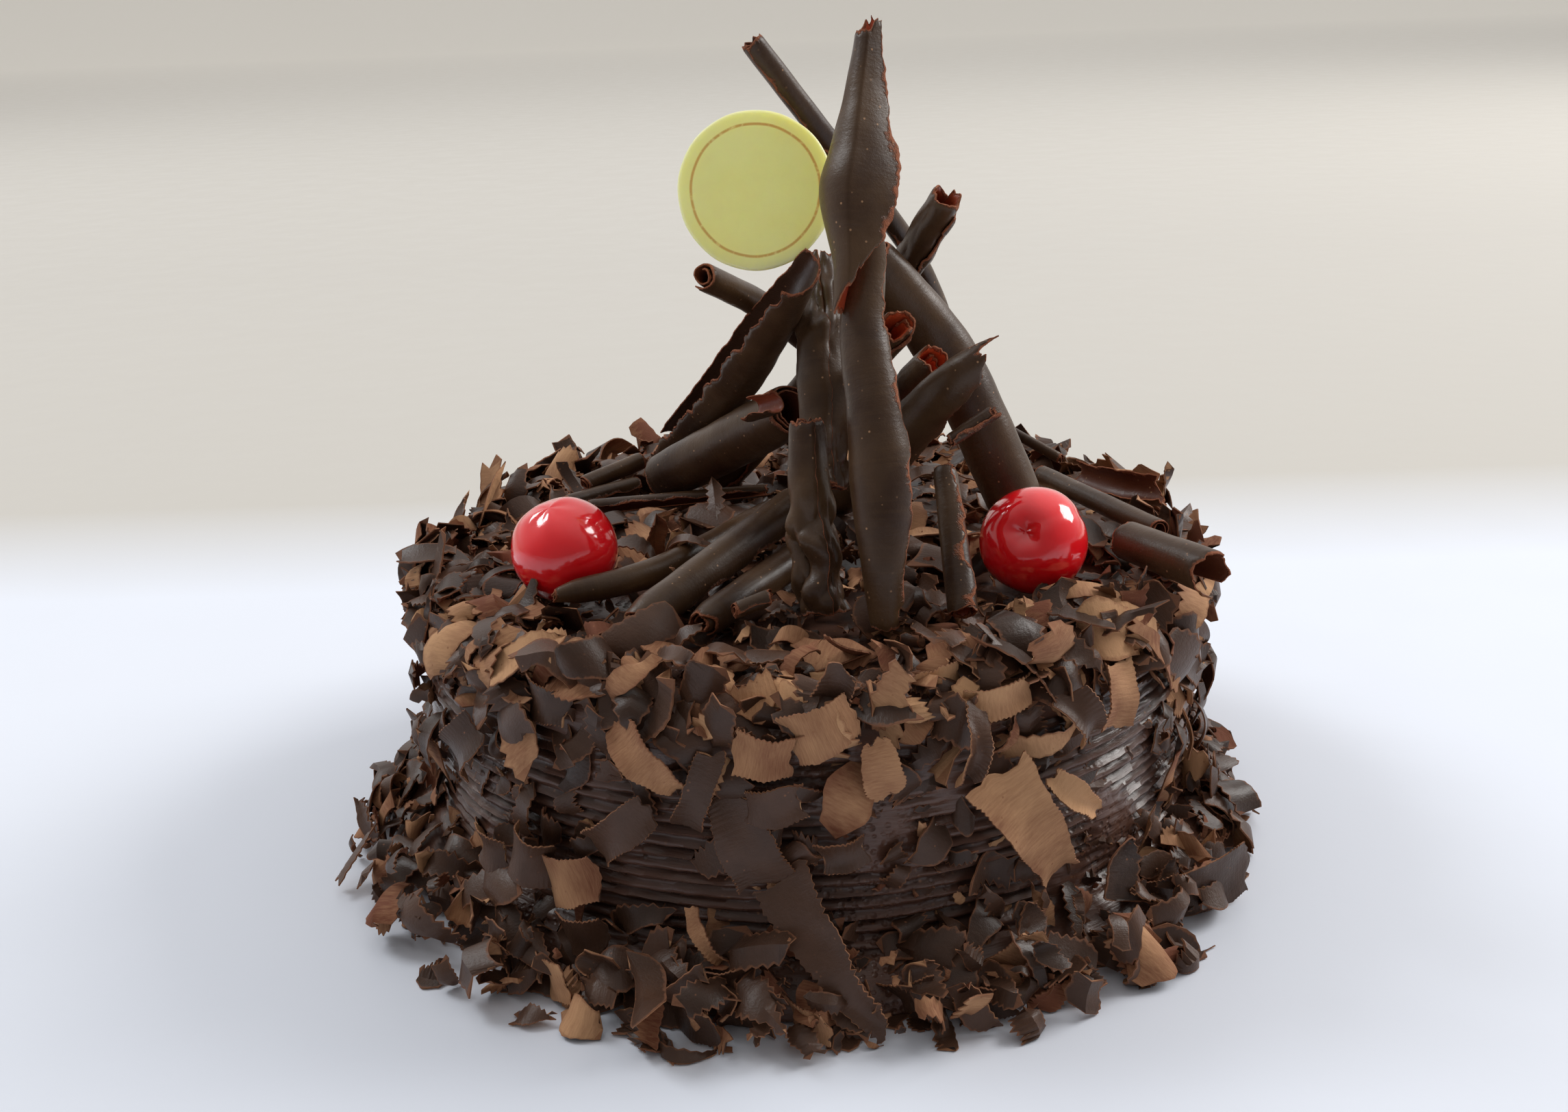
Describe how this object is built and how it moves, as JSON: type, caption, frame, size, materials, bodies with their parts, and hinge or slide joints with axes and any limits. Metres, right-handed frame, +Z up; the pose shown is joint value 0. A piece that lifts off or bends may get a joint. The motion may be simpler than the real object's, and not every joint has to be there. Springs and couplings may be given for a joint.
{
  "type": "chocolate cherry cake",
  "caption": "Round chocolate cake with combed sides, heaped with chocolate shavings and topped with leaning chocolate rolls, glazed cherries and a white chocolate disc.",
  "frame": {"origin": "centre of the cake's flat underside", "axes": "+Z up through the cake, -Y towards the side with both cherries and the disc"},
  "size_m": [0.2115, 0.2115, 0.1765],
  "materials": {
    "cake_chocolate": "satin",
    "roll_chocolate": "satin",
    "glazed_cherry": "glossy",
    "white_chocolate": "satin"
  },
  "bodies": {
    "root": {"cake": "cake_chocolate", "tall_curl": "roll_chocolate", "crumpled_roll_front": "roll_chocolate", "crumpled_roll_back": "roll_chocolate", "open_curl": "roll_chocolate", "thick_roll_left": "roll_chocolate", "small_curl_left": "roll_chocolate", "slim_roll_left": "roll_chocolate", "long_thin_roll": "roll_chocolate", "folded_roll_right": "roll_chocolate", "thick_roll_right": "roll_chocolate", "scroll_upper": "roll_chocolate", "scroll_lower": "roll_chocolate", "half_roll": "roll_chocolate", "thin_stick": "roll_chocolate", "leaning_roll": "roll_chocolate", "thin_stick_back": "roll_chocolate", "curled_sheet": "roll_chocolate", "long_roll_right": "roll_chocolate", "wide_roll_right": "roll_chocolate", "slim_roll_front": "roll_chocolate", "thick_roll_front": "roll_chocolate", "short_roll_front": "roll_chocolate", "tiny_roll_front": "roll_chocolate", "thin_curl_left": "roll_chocolate", "rim_roll_lower": "roll_chocolate", "rim_roll_upper": "roll_chocolate", "cherry_left": "glazed_cherry", "cherry_right": "glazed_cherry", "plaque": "white_chocolate"}
  },
  "joints": []
}
